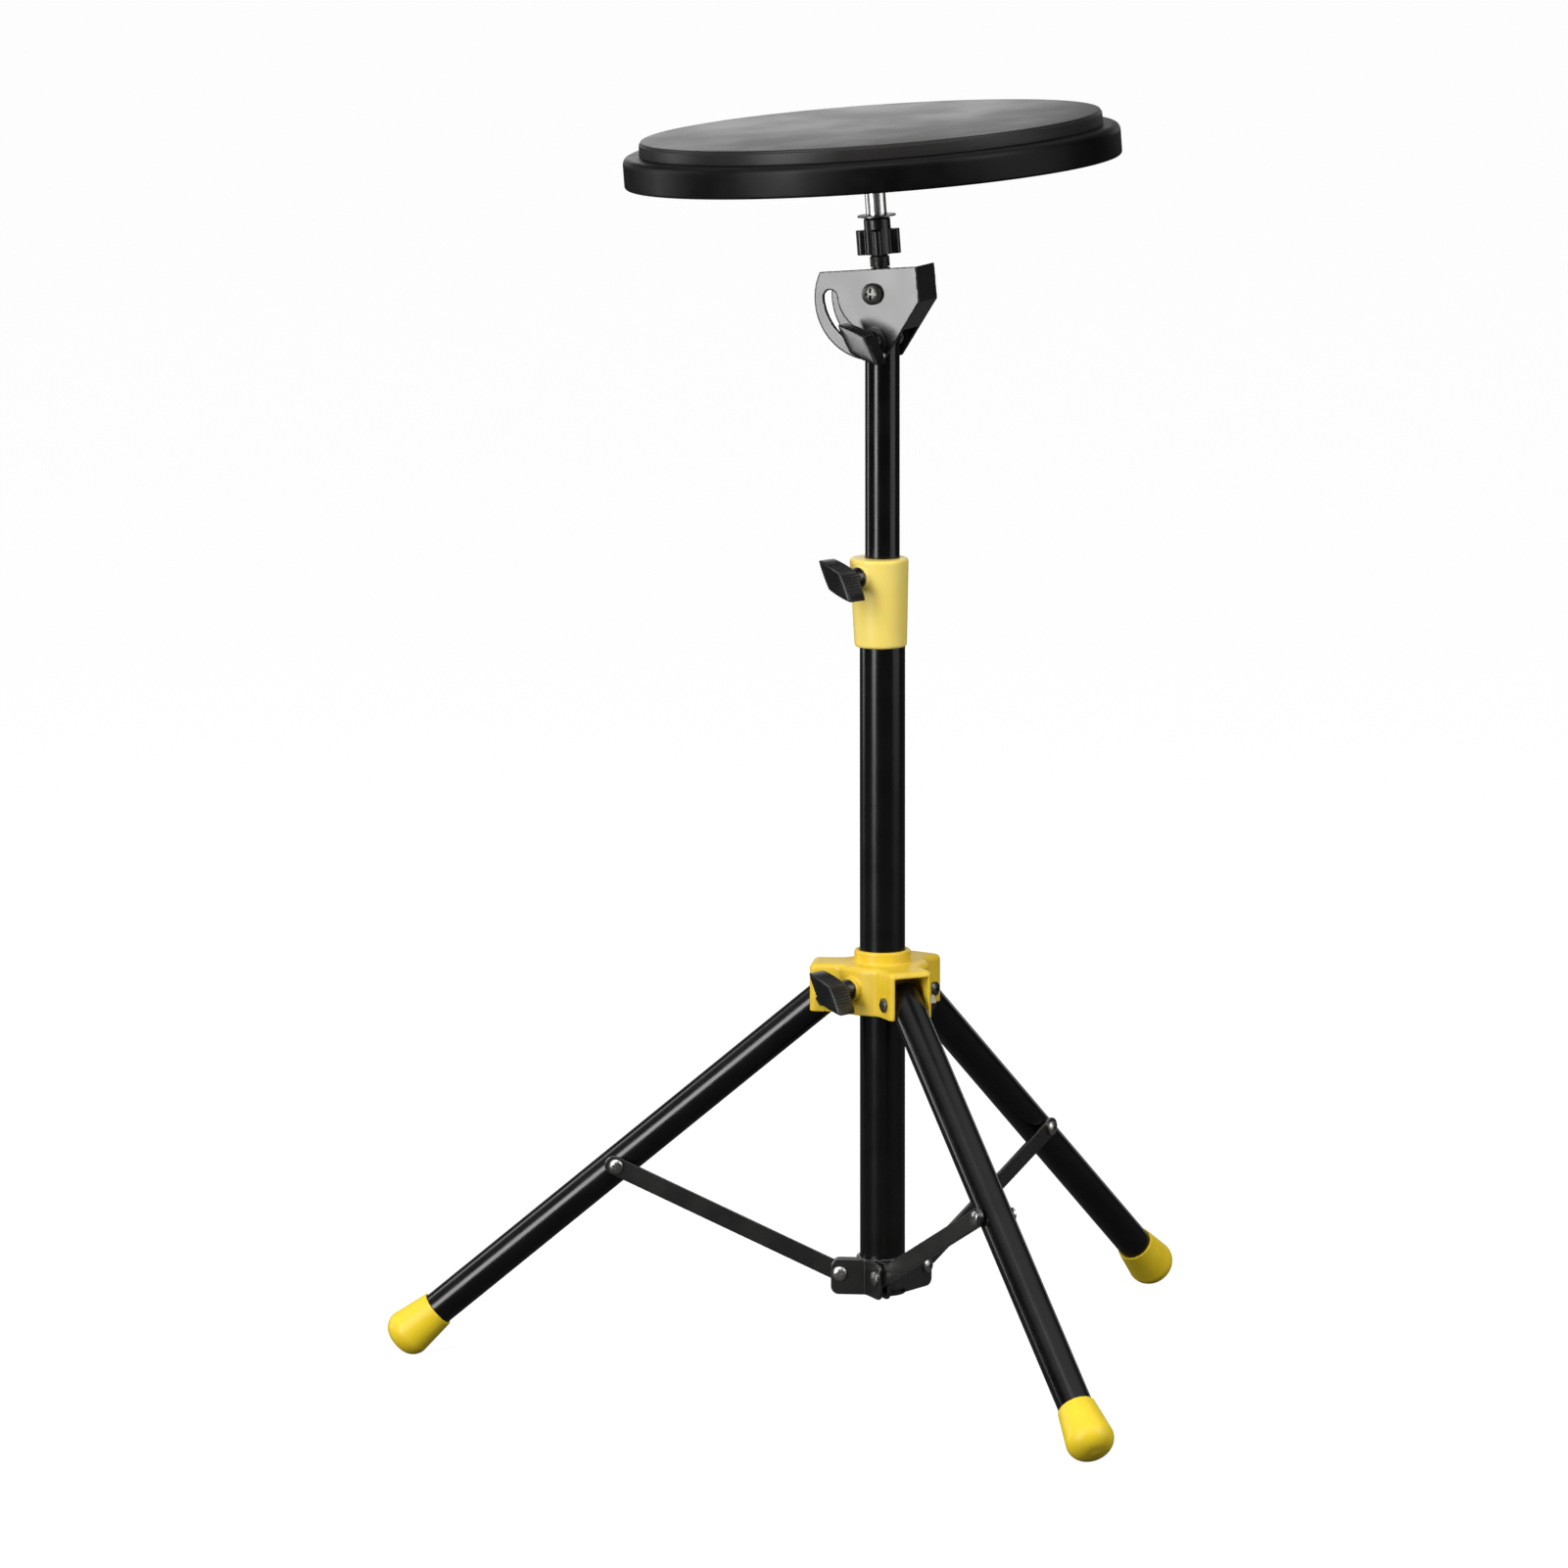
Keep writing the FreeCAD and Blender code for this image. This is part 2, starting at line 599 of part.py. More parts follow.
def slide_hub():
    collar = rod(HUB_COLLAR_R, HUB_TOP_Z - 1, HUB_COLLAR_Z)
    collar = collar.makeFillet(1.0, [e for e in collar.Edges if e.BoundBox.ZMin > HUB_COLLAR_Z - 0.01])
    face = HUB_BODY_R + HUB_BOSS_OUT
    boss = at_column(rod(HUB_BOSS_R, LOWER_R + 5, face, X, Z * HUB_BOLT_Z), WING_AZIMUTH)
    hub = hub_body().fuse([collar, boss]).removeSplitter()
    for azimuth in LEG_AZIMUTHS:
        hub = hub.cut(at_column(leg_slot(), azimuth))
    hub = hub.cut(rod(LOWER_R + RUNNING_FIT, HUB_BOTTOM_Z - 1, HUB_COLLAR_Z + 1))
    bolt_hole = rod(HEAD_SHANK_R + RUNNING_FIT, 5, face + 1, X, Z * HUB_BOLT_Z)
    return hub.cut(at_column(bolt_hole, WING_AZIMUTH))


def leg_bolt(azimuth):
    screw = placed(pivot_screw(2 * HUB_ARM_HALF + NUT_H + SCREW_TIP), V(0, 0, HUB_ARM_HALF))
    return at_column(placed(pointing(screw, V(0, -1, 0)), V(HINGE_R, 0, HINGE_Z)), azimuth)


def leg_nut(azimuth):
    piece = placed(nut(NUT_R, PIVOT_SHANK_R, NUT_H), V(0, 0, HUB_ARM_HALF))
    return at_column(placed(pointing(piece, Y), V(HINGE_R, 0, HINGE_Z)), azimuth)


# ---- legs -----------------------------------------------------------------------------------
def hinge_hole():
    return rod(PIVOT_SHANK_R + RUNNING_FIT, -20, 20, Y)


def leg_tube(azimuth):
    tube = pipe(LEG_R, LEG_BORE_R, -LEG_LENGTH, LEG_TOP).cut(hinge_hole())
    tube = tube.cut(rod(PIVOT_SHANK_R, -20, 20, Y, V(0, 0, -LEG_BRACE_AT)))
    return at_leg(tube, azimuth)


def leg_plug(azimuth):
    return at_leg(rod(LEG_BORE_R, LEG_TOP - PLUG_DEPTH, LEG_TOP).cut(hinge_hole()), azimuth)


def foot_cap(azimuth):
    """Slip-on rubber foot with a blunt round end that rests on a small flat."""
    turn = FOOT_CORNER_R * math.sqrt(0.5)
    inner = FOOT_END_R - FOOT_CORNER_R
    rim = (FOOT_RIM_R, -LEG_LENGTH + FOOT_SLEEVE)
    waist = (FOOT_END_R, -FOOT_REACH)
    shoulder = (inner, -FOOT_REACH - FOOT_CORNER_R)
    end = (0, shoulder[1] - FOOT_DOME)
    cap = turned([line((0, rim[1]), rim), line(rim, waist),
                  arc(waist, (inner + turn, -FOOT_REACH - turn), shoulder), line(shoulder, end),
                  line(end, (0, rim[1]))])
    cap = cap.cut(rod(LEG_R, -LEG_LENGTH, -LEG_LENGTH + FOOT_SLEEVE + 1))
    cap = at_leg(cap, azimuth)
    return cap.cut(block(-500, 500, -500, 500, -50, 0))


def leg_rivet(azimuth, side):
    """Shank across the leg with a round head on the flank away from the brace."""
    shank = rod(PIVOT_SHANK_R, -LEG_R, LEG_R)
    head = placed(pan_head(PIVOT_HEAD_R, RIVET_HEAD_H), Z * LEG_R)
    piece = pointing(shank.fuse(head), V(0, -side, 0))
    return at_leg(placed(piece, V(0, 0, -LEG_BRACE_AT)), azimuth)


# ---- braces ---------------------------------------------------------------------------------
def brace_bar(azimuth, side):
    """Flat bar with round ends; it lies on one flank of its leg."""
    half = BRACE_THICK / 2
    width = BRACE_WIDTH / 2
    end = BRACE_LENGTH + BRACE_END - width
    bar = block(-width, width, -half, half, 0, end)
    bar = bar.fuse([rod(width, -half, half, Y), rod(width, -half, half, Y, Z * end)])
    bar = bar.removeSplitter()
    bar = bar.cut(rod(PIVOT_SHANK_R + RUNNING_FIT, -9, 9, Y))
    bar = bar.cut(rod(PIVOT_SHANK_R, -9, 9, Y, Z * BRACE_LENGTH))
    return at_brace(placed(bar, V(0, side * BRACE_OFFSET, 0)), azimuth)


def brace_screw(azimuth, side):
    """Screw of the opened upper pivot: it stays with the brace and stops short of the leg."""
    face = BRACE_OFFSET + BRACE_THICK / 2
    piece = pointing(placed(pivot_screw(BRACE_THICK), V(0, 0, face)), V(0, side, 0))
    return at_brace(placed(piece, Z * BRACE_LENGTH), azimuth)


# ---- foot bracket ---------------------------------------------------------------------------
def ear(side, y0, start):
    plate = block(start, EAR_TIP, y0, y0 + EAR_THICK, EAR_BOTTOM_Z, COLLAR_TOP_Z)
    tips = [e for e in plate.Edges
            if abs(e.tangentAt(e.FirstParameter).y) > 0.99 and e.BoundBox.XMin > EAR_TIP - 1]
    plate = plate.makeFillet(4.5, tips)
    if side < 0:
        plate = plate.mirror(ORIGIN, Y)
    return plate


def bottom_bracket():
    """Collar round the column with a two-eared fork beside it for each brace."""
    inner_ear = BRACE_OFFSET - EAR_GAP / 2 - EAR_THICK
    outer_ear = BRACE_OFFSET + EAR_GAP / 2
    bracket = pipe(COLLAR_R, LOWER_R, LOWER_BOTTOM_Z, COLLAR_TOP_Z)
    pieces = []
    for azimuth, side in zip(LEG_AZIMUTHS, BRACE_SIDES):
        pieces.append(at_column(ear(side, inner_ear, 11.5), azimuth))
        pieces.append(at_column(ear(side, outer_ear, 2.0), azimuth))
    bracket = bracket.fuse(pieces).removeSplitter()
    bracket = bracket.cut(rod(LOWER_R, EAR_BOTTOM_Z - 1, COLLAR_TOP_Z + 1))
    for azimuth in LEG_AZIMUTHS:
        bracket = bracket.cut(at_column(rod(PIVOT_SHANK_R, -25, 25, Y, V(FORK_R, 0, FORK_Z)), azimuth))
    return bracket


def fork_screw(azimuth, side):
    face = BRACE_OFFSET + EAR_GAP / 2 + EAR_THICK
    reach = EAR_GAP + 2 * EAR_THICK + NUT_H + SCREW_TIP
    piece = pointing(placed(pivot_screw(reach), V(0, 0, face)), V(0, side, 0))
    return at_column(placed(piece, V(FORK_R, 0, FORK_Z)), azimuth)


def fork_nut(azimuth, side):
    face = BRACE_OFFSET - EAR_GAP / 2 - EAR_THICK
    piece = pointing(placed(nut(NUT_R, PIVOT_SHANK_R, NUT_H), V(0, 0, face - NUT_H)), V(0, side, 0))
    return at_column(placed(piece, V(FORK_R, 0, FORK_Z)), azimuth)


# ---- write every node -------------------------------------------------------------------------
def save(name, shape):
    if not shape.isValid():
        raise ValueError(name + " is not a valid solid")
    shape.exportStep(os.path.join("parts", name + ".step"))


def stud_nodes():
    return {"playing_surface": playing_surface(), "base_board": base_board(),
            "base_inserts": base_inserts(), "flange_plate": flange_plate(),
            "flange_barrel": flange_barrel(), "flange_washers": flange_washers(),
            "flange_screws": flange_screws(), "head_stud": head_stud(),
            "jam_washer": jam_washer(), "lock_knob": lock_knob(),
            "knob_insert": knob_insert()}


def column_nodes():
    return {"tilt_bracket": at_head(tilt_bracket()), "pivot_bolt": at_yoke(pivot_bolt()),             "pivot_nut": at_yoke(pivot_nut()), "tilt_nut": at_yoke(tilt_nut()),
            "tilt_washer": tilt_washer(),
            "tilt_wing_head": tilt_wing(wing_head()),
            "tilt_wing_screw": tilt_wing(wing_screw(TILT_SEAT, -HEAD_HALF - BOLT_END)),
            "upper_tube": upper_tube(), "tube_glide": tube_glide(), "lower_tube": lower_tube(),
            "column_plug": column_plug(), "clamp_collar": clamp_collar(),
            "clamp_wing_head": column_wing(wing_head(), CLAMP_SEAT, CLAMP_BOLT_Z),
            "clamp_wing_screw": column_wing(wing_screw(CLAMP_SEAT, UPPER_R + 0.1), CLAMP_SEAT, CLAMP_BOLT_Z),
            "slide_hub": slide_hub(),
            "hub_wing_head": column_wing(wing_head(), HUB_SEAT, HUB_BOLT_Z),
            "hub_wing_screw": column_wing(wing_screw(HUB_SEAT, LOWER_R + 0.1), HUB_SEAT, HUB_BOLT_Z),
            "bottom_bracket": bottom_bracket()}


def tripod_nodes():
    legs = list(zip(LEG_NAMES, LEG_AZIMUTHS, BRACE_SIDES))
    nodes = {"leg_bolts": Part.makeCompound([leg_bolt(a) for _, a, _ in legs]),
             "leg_nuts": Part.makeCompound([leg_nut(a) for _, a, _ in legs]),
             "fork_screws": Part.makeCompound([fork_screw(a, s) for _, a, s in legs]),
             "fork_nuts": Part.makeCompound([fork_nut(a, s) for _, a, s in legs])}
    for name, azimuth, side in legs:
        nodes["leg_tube_" + name] = leg_tube(azimuth)
        nodes["leg_plug_" + name] = leg_plug(azimuth)
        nodes["foot_cap_" + name] = foot_cap(azimuth)
        nodes["leg_rivet_" + name] = leg_rivet(azimuth, side)
        nodes["brace_" + name] = brace_bar(azimuth, side)
        nodes["brace_screw_" + name] = brace_screw(azimuth, side)
    return nodes


def main():
    os.makedirs("parts", exist_ok=True)
    for name, shape in stud_nodes().items():
        save(name, at_stud(shape))
    for name, shape in column_nodes().items():
        save(name, shape)
    for name, shape in tripod_nodes().items():
        save(name, shape)


main()
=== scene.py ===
import json
import math

import bmesh
import bpy
from mathutils import Matrix, Vector


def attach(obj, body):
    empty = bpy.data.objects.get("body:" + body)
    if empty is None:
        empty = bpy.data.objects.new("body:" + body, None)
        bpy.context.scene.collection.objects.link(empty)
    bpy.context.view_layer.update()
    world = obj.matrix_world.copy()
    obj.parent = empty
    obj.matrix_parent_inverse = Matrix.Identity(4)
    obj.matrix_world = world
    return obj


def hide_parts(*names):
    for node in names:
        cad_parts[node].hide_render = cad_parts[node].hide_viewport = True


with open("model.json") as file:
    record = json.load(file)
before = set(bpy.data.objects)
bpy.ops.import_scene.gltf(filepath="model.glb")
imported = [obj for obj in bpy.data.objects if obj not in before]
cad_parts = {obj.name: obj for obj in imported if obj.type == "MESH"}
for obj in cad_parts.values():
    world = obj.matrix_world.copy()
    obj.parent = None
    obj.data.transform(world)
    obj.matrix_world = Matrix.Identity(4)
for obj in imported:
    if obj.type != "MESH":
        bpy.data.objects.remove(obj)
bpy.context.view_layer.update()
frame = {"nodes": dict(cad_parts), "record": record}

# Practice pad on a folding tripod stand.  Metres; +Z up, +Y away from the camera.
MM = 0.001
SLOTS = {s["node"]: s["material_slot"] for s in frame["record"]["subparts"]}
JOINTS = {j["name"]: j for j in frame["record"]["behaviour"]["joints"]}

# Moulded, cast and stamped nodes, whose edges are softened: voxel size in millimetres.
SOFT_NODES = {"slide_hub": 0.55, "clamp_collar": 0.5, "lock_knob": 0.32, "tilt_bracket": 0.42,
              "bottom_bracket": 0.42}
for leg in ("left", "front", "right"):
    SOFT_NODES["foot_cap_" + leg] = 0.5
    SOFT_NODES["brace_" + leg] = 0.36
SOFT_PASSES = 4
SOFT_SHARE = 0.5            # share of each step of the smoothing
NODE_CREASE = 32            # degrees above which an edge stays sharp
GRIP_CREASE = 48
THREAD_CREASE = 30

# Wing bolt's lozenge grip, in millimetres along and across its own axis.
WINGS = ("clamp", "hub", "tilt")
GRIP_SPAN = 15.7            # half its length
GRIP_HALF = 6.7             # half its width
GRIP_TURN = 42.0
GRIP_POINTS = 320
GRIP_SAMPLES = 2880         # fine steps that the even spacing is picked from
GRIP_CURVE = 1.16           # 1 is a straight-sided lozenge, 2 an ellipse
GRIP_TIP = 1.6              # an inset shortens the lozenge by this many times what it narrows it
GRIP_RIB = 0.6
GRIP_RIBS = 40
GRIP_RIB_END = 0.86         # share of the length where the ribs run out
GRIP_RIB_FADE = 8
# z, share of the lozenge (0 is the round skirt), radius or inset, rib depth
GRIP_RINGS = ((0.1, 0, 5.5, 0), (0.5, 0, 5.9, 0), (1.4, 0, 5.9, 0), (1.8, 0, 5.5, 0), (5.6, 0, 5.3, 0),
              (6.5, 1, 1.5, 0), (6.8, 1, 0.6, 0), (7.4, 1, 0.15, 0), (7.8, 1, 0.0, 0.5), (8.2, 1, 0.0, 1),
              (18.6, 1, 0.0, 1), (19.0, 1, 0.05, 1), (19.35, 1, 0.25, 0.9), (19.65, 1, 0.7, 0.6),
              (19.8, 1, 1.3, 0.2), (19.9, 1, 2.0, 0), (20.0, 1, 3.2, 0), (20.05, 1, 5.0, 0))

# Pad, in millimetres.
PAD_SEGMENTS = 256
BOARD_STEPS = 10
BOARD_FOOT = 1.6            # easing of the board's lower and upper edge
BOARD_SHOULDER = 4.6
# Rubber face: in from its radius, down from its top (None is its foot), easing.
FACE_STEPS = 5
FACE_LIP = ((0, None, 0.5), (0.3, 1.6, 0.3), (0.9, 1.3, 0.3), (1.1, 0, 1.0))

# Stud, in millimetres.
STUD_SEGMENTS = 64
SPIGOT_R = 4.0              # M8
SPIGOT_LENGTH = 2.9         # plain end that sits in the bracket
SPIGOT_PITCH = 1.25
SPIGOT_THREAD = 0.35
SHOULDER_PITCH = 1.1
SHOULDER_THREAD = 0.28
KNOB_GAP = 0.2              # between the shoulder and the lock knob
PLAIN_TIP = 0.5

# Camera, floor and light, in metres and degrees.
LENS = 223.15
CAMERA_PLACE = (0, -5.291, 1.172)
CAMERA_TURN = (90 - 9.08, 0.1, 0.5718)
FLOOR_HALF = 30.0
FLOOR_GREY = 0.08
PAPER_WHITE = 0.95
BACKDROP_WHITE = 1.0
STAND_MIDDLE = (0, 0, 0.35)
PAD_MIDDLE = (0, 0, 0.68)
# Name, azimuth, elevation, distance, size, strength and aimed-at point.
PANELS = (("key", -43, 14, 2.6, (0.8, 2.4), 10.5, STAND_MIDDLE),
          ("left_side", -112, 12, 2.4, (0.6, 1.8), 3.2, STAND_MIDDLE),
          ("right_fill", 56, 32, 2.8, (1.4, 1.8), 3.8, STAND_MIDDLE),
          ("right_low", 74, 2, 2.6, (1.8, 1.2), 1.3, STAND_MIDDLE),
          ("front_top", -12, 52, 2.6, (1.6, 1.4), 2.4, STAND_MIDDLE),
          ("back", 186, 8, 1.0, (0.42, 0.3), 1.5, PAD_MIDDLE))

# Finish of each material slot: grain is its frequency per metre and grain_height its depth in metres.
FINISHES = {
    "black_tube": dict(colour=(0.0022, 0.0022, 0.0022), tint=(0.0034, 0.0034, 0.0036), roughness=0.2,
                       drift=0.02, grain=700, grain_height=0.000004, Specular_IOR_Level=0.42),
    # black_sheet's wear: a pale colour painted on its sharp outer edges as a highlight.
    "black_sheet": dict(colour=(0.005, 0.005, 0.0045), tint=(0.008, 0.008, 0.007), roughness=0.34,
                        drift=0.04, grain=900, grain_height=0.000012, wear=(0.25, 0.25, 0.23),
                        Coat_Weight=1.0, Coat_Roughness=0.22),
    "yellow_plastic": dict(colour=(0.80, 0.56, 0.033), tint=(0.77, 0.525, 0.025), roughness=0.38,
                           drift=0.05, grain=1800, grain_height=0.00002, Subsurface_Weight=0.12,
                           Subsurface_Scale=0.002),
    "pale_plastic": dict(colour=(0.99, 0.775, 0.185), tint=(0.98, 0.75, 0.16), roughness=0.36,
                         drift=0.05, grain=1800, grain_height=0.00002, Subsurface_Weight=0.12,
                         Subsurface_Scale=0.002),
    "yellow_rubber": dict(colour=(0.87, 0.645, 0.021), tint=(0.84, 0.61, 0.016), roughness=0.44,
                          drift=0.05, grain=1500, grain_height=0.00003, Subsurface_Weight=0.12,
                          Subsurface_Scale=0.002),
    "black_plastic": dict(colour=(0.006, 0.006, 0.006), tint=(0.010, 0.010, 0.010), roughness=0.28,
                          drift=0.05, grain=900, grain_height=0.00002),
    "nylon": dict(colour=(0.7, 0.68, 0.62), tint=(0.64, 0.62, 0.56), roughness=0.4, drift=0.05,
                  grain=1200, grain_height=0.00003),
    "dark_steel": dict(colour=(0.10, 0.10, 0.095), tint=(0.17, 0.17, 0.16), roughness=0.34, drift=0.06,
                       grain=2600, grain_height=0.00002, metallic=0.9),
    "zinc_steel": dict(colour=(0.42, 0.42, 0.41), tint=(0.54, 0.53, 0.51), roughness=0.3, drift=0.06,
                       grain=2200, grain_height=0.00002, metallic=1.0),
    "chrome": dict(colour=(0.95, 0.95, 0.94), tint=(0.88, 0.88, 0.87), roughness=0.27, drift=0.04,
                   grain=900, grain_height=0.000006, metallic=1.0),
    "brass": dict(colour=(0.62, 0.45, 0.18), tint=(0.55, 0.39, 0.15), roughness=0.3, drift=0.05,
                  grain=2200, grain_height=0.00002, metallic=1.0),
    "pad_rubber": dict(colour=(0.012, 0.0113, 0.011), tint=(0.017, 0.016, 0.0155), roughness=0.4,
                       drift=0.03, grain=2400, grain_height=0.00005, blotch=25.0,
                       Specular_IOR_Level=0.24),
    "base_wood": dict(colour=(0.0012, 0.0012, 0.0012), tint=(0.0025, 0.0025, 0.0025), roughness=0.42,
                      drift=0.04, grain=900, grain_height=0.000012, Specular_IOR_Level=0.16),
}


# ---- camera, floor and light ------------------------------------------------------------------
def add_camera():
    data = bpy.data.cameras.new("camera")
    data.sensor_width = 36
    data.lens = LENS
    data.clip_end = 100
    camera = bpy.data.objects.new("camera", data)
    camera.location = CAMERA_PLACE
    camera.rotation_euler = [math.radians(angle) for angle in CAMERA_TURN]
    bpy.context.scene.collection.objects.link(camera)
    bpy.context.scene.camera = camera


def add_panel(name, azimuth, elevation, distance, size, strength, aim):
    """Soft box that looks at the object; azimuth 0 is the camera's side, positive to the right.

    None of them is seen directly, only by what they light.
    """
    data = bpy.data.lights.new(name, "AREA")
    data.shape = "RECTANGLE"
    data.size, data.size_y = size
    data.energy = strength * size[0] * size[1] * math.pi
    a, e = math.radians(azimuth), math.radians(elevation)
    away = Vector((math.sin(a) * math.cos(e), -math.cos(a) * math.cos(e), math.sin(e)))
    panel = bpy.data.objects.new(name, data)
    panel.location = Vector(aim) + away * distance
    panel.rotation_euler = (-away).to_track_quat("-Z", "Y").to_euler()
    panel.visible_camera = False
    bpy.context.scene.collection.objects.link(panel)


def add_world():
    """Soft overhead light, dark round the horizon, with a low glow behind the object.

    Each remap turns a part of the direction into a strength.
    """
    world = bpy.data.worlds.new("studio")
    world.use_nodes = True
    bpy.context.scene.world = world
    tree = Tree(world.node_tree)
    tree.clear()
    direction = tree.add("ShaderNodeTexCoord").outputs["Generated"]
    axes = tree.add("ShaderNodeSeparateXYZ", Vector=direction).outputs
    overhead = tree.remap(axes["Z"], 0.35, 0.98, 0.015, 0.9)
    behind = tree.remap(axes["Y"], 0.78, 0.995, 0.0, 1.2)
    low = tree.remap(axes["Z"], 0.06, 0.36, 1.0, 0.0)
    glow = tree.math("MULTIPLY", behind, low)
    light = tree.math("ADD", overhead, glow)
    camera_ray = tree.add("ShaderNodeLightPath").outputs["Is Camera Ray"]
    shown = tree.mix_value(camera_ray, light, BACKDROP_WHITE)
    background = tree.add("ShaderNodeBackground", Strength=shown)
    tree.add("ShaderNodeOutputWorld", Surface=background.outputs[0])


def add_floor():
    """Pale floor whose bounce onto the object is kept low."""
    mesh = bpy.data.meshes.new("floor")
    half = FLOOR_HALF
    corners = [(-half, -half, 0), (half, -half, 0), (half, half, 0), (-half, half, 0)]
    mesh.from_pydata(corners, [], [(0, 1, 2, 3)])
    floor = bpy.data.objects.new("floor", mesh)
    bpy.context.scene.collection.objects.link(floor)
    material = bpy.data.materials.new("floor")
    material.use_nodes = True
    tree = Tree(material.node_tree)
    tree.clear()
    diffuse = tree.add("ShaderNodeBsdfDiffuse", Color=(FLOOR_GREY, FLOOR_GREY, FLOOR_GREY, 1)).outputs[0]
    paper = tree.add("ShaderNodeEmission", Color=(1, 1, 1, 1), Strength=PAPER_WHITE).outputs[0]
    lit = tree.add("ShaderNodeAddShader")
    tree.put(lit.inputs[0], diffuse)
    tree.put(lit.inputs[1], paper)
    camera_ray = tree.add("ShaderNodeLightPath").outputs["Is Camera Ray"]
    choice = tree.add("ShaderNodeMixShader", Fac=camera_ray)
    tree.put(choice.inputs[1], diffuse)
    tree.put(choice.inputs[2], lit.outputs[0])
    tree.add("ShaderNodeOutputMaterial", Surface=choice.outputs[0])
    mesh.materials.append(material)


# ---- shader helpers ---------------------------------------------------------------------------
class Tree:
    """Short spellings for building a node tree."""

    def __init__(self, tree):
        self.tree = tree

    def clear(self):
        self.tree.nodes.clear()

    def add(self, kind, **inputs):
        """New node with its inputs set by name; an underscore stands for a space."""
        node = self.tree.nodes.new(kind)
        for key, value in inputs.items():
            self.put(node.inputs[key.replace("_", " ")], value)
        return node

    def put(self, socket, value):
        """Link an output to a socket, or set the socket's own value."""
        if isinstance(value, bpy.types.NodeSocket):
            self.tree.links.new(value, socket)
        else:
            socket.default_value = value

    def math(self, operation, a, b):
        node = self.tree.nodes.new("ShaderNodeMath")
        node.operation = operation
        self.put(node.inputs[0], a)
        self.put(node.inputs[1], b)
        return node.outputs[0]

    def remap(self, value, from_min, from_max, to_min, to_max):
        """Ease a value from one range into another."""
        node = self.tree.nodes.new("ShaderNodeMapRange")
        node.interpolation_type = "SMOOTHSTEP"
        for socket, number in zip(node.inputs[:5], (value, from_min, from_max, to_min, to_max)):
            self.put(socket, number)
        return node.outputs[0]

    def mix_value(self, factor, a, b):
        node = self.tree.nodes.new("ShaderNodeMix")
        self.put(node.inputs["Factor"], factor)
        self.put(node.inputs["A"], a)
        self.put(node.inputs["B"], b)
        return node.outputs["Result"]

    def mix_colour(self, factor, a, b):
        node = self.tree.nodes.new("ShaderNodeMix")
        node.data_type = "RGBA"
        self.put(node.inputs[0], factor)
        self.put(node.inputs[6], a)
        self.put(node.inputs[7], b)
        return node.outputs[2]

    def noise(self, where, scale, detail):
        return self.add("ShaderNodeTexNoise", Vector=where, Scale=scale, Detail=detail).outputs[0]


def surface(name, colour, tint, roughness, drift, grain, grain_height, metallic=0.0, blotch=60.0,
            wear=None, **fixed):
    """A finished surface: colour that drifts to a tint, uneven gloss and a fine raised grain.

    wear is a pale colour painted on sharp outer edges as a highlight, broken up by noise; fixed holds
    values of the shader.
    """
    material = bpy.data.materials.new(name)
    material.use_nodes = True
    tree = Tree(material.node_tree)
    tree.clear()
    where = tree.add("ShaderNodeTexCoord").outputs["Object"]
    clouds = tree.noise(where, blotch, 3.0)
    fine = tree.noise(where, grain, 3.0)
    share = tree.remap(clouds, 0.35, 0.65, 0.0, 1.0)
    base = tree.mix_colour(share, (*colour, 1), (*tint, 1))
    # Painted highlight: a pale colour on sharp outer edges, where pointiness is high, broken up by noise.
    if wear:
        pointiness = tree.add("ShaderNodeNewGeometry").outputs["Pointiness"]
        edge = tree.remap(pointiness, 0.53, 0.60, 0.0, 1.0)
        highlight_breakup = tree.remap(tree.noise(where, 220, 2.0), 0.35, 0.6, 0.25, 1.0)
        base = tree.mix_colour(tree.math("MULTIPLY", edge, highlight_breakup), base, (*wear, 1))
    gloss = tree.remap(clouds, 0.3, 0.7, roughness - drift, roughness + drift)
    bump = tree.add("ShaderNodeBump", Strength=1.0, Distance=grain_height, Height=fine)
    shader = tree.add("ShaderNodeBsdfPrincipled", Base_Color=base, Roughness=gloss,
                      Metallic=metallic, Normal=bump.outputs[0])
    for key, value in fixed.items():
        shader.inputs[key.replace("_", " ")].default_value = value
    tree.add("ShaderNodeOutputMaterial", Surface=shader.outputs[0])
    return material


# ---- mesh helpers -----------------------------------------------------------------------------
def lathe(name, profile, segments):
    """Closed solid of revolution about Z; the profile runs from the axis to the axis, in mm."""
    mesh = bmesh.new()
    rings = []
    for r, z in profile:
        spokes = 1 if r < 1e-6 else segments
        angles = [2 * math.pi * k / segments for k in range(spokes)]
        points = [(r * math.cos(a) * MM, r * math.sin(a) * MM, z * MM) for a in angles]
        rings.append([mesh.verts.new(point) for point in points])
    skin(mesh, rings, segments)
    return finished(name, mesh)


def skin(mesh, rings, segments):
    """Join rings of points, each of one point or of all the segments."""
    for low, high in zip(rings, rings[1:]):
        for k in range(segments):
            after = (k + 1) % segments
            lower = [low[k % len(low)], low[after % len(low)]]
            upper = [high[after % len(high)], high[k % len(high)]]
            mesh.faces.new(list(dict.fromkeys(lower + upper)))


def finished(name, mesh):
    """Turn a bmesh into a smooth-shaded object."""
    bmesh.ops.recalc_face_normals(mesh, faces=mesh.faces)
    data = bpy.data.meshes.new(name)
    mesh.to_mesh(data)
    mesh.free()
    data.shade_smooth()
    piece = bpy.data.objects.new(name, data)
    bpy.context.scene.collection.objects.link(piece)
    return piece


def eased(corners, steps):
    """Outline through (r, z, ease) corners, each rounded off by its ease."""
    points = []
    for k, (r, z, ease) in enumerate(corners):
        here = Vector((r, z))
        if ease == 0:
            points.append(here)
            continue
        before = here + (Vector(corners[k - 1][:2]) - here).normalized() * ease
        after = here + (Vector(corners[k + 1][:2]) - here).normalized() * ease
        for step in range(steps + 1):
            t = step / steps
            points.append(before * (1 - t) ** 2 + here * 2 * t * (1 - t) + after * t ** 2)
    return points


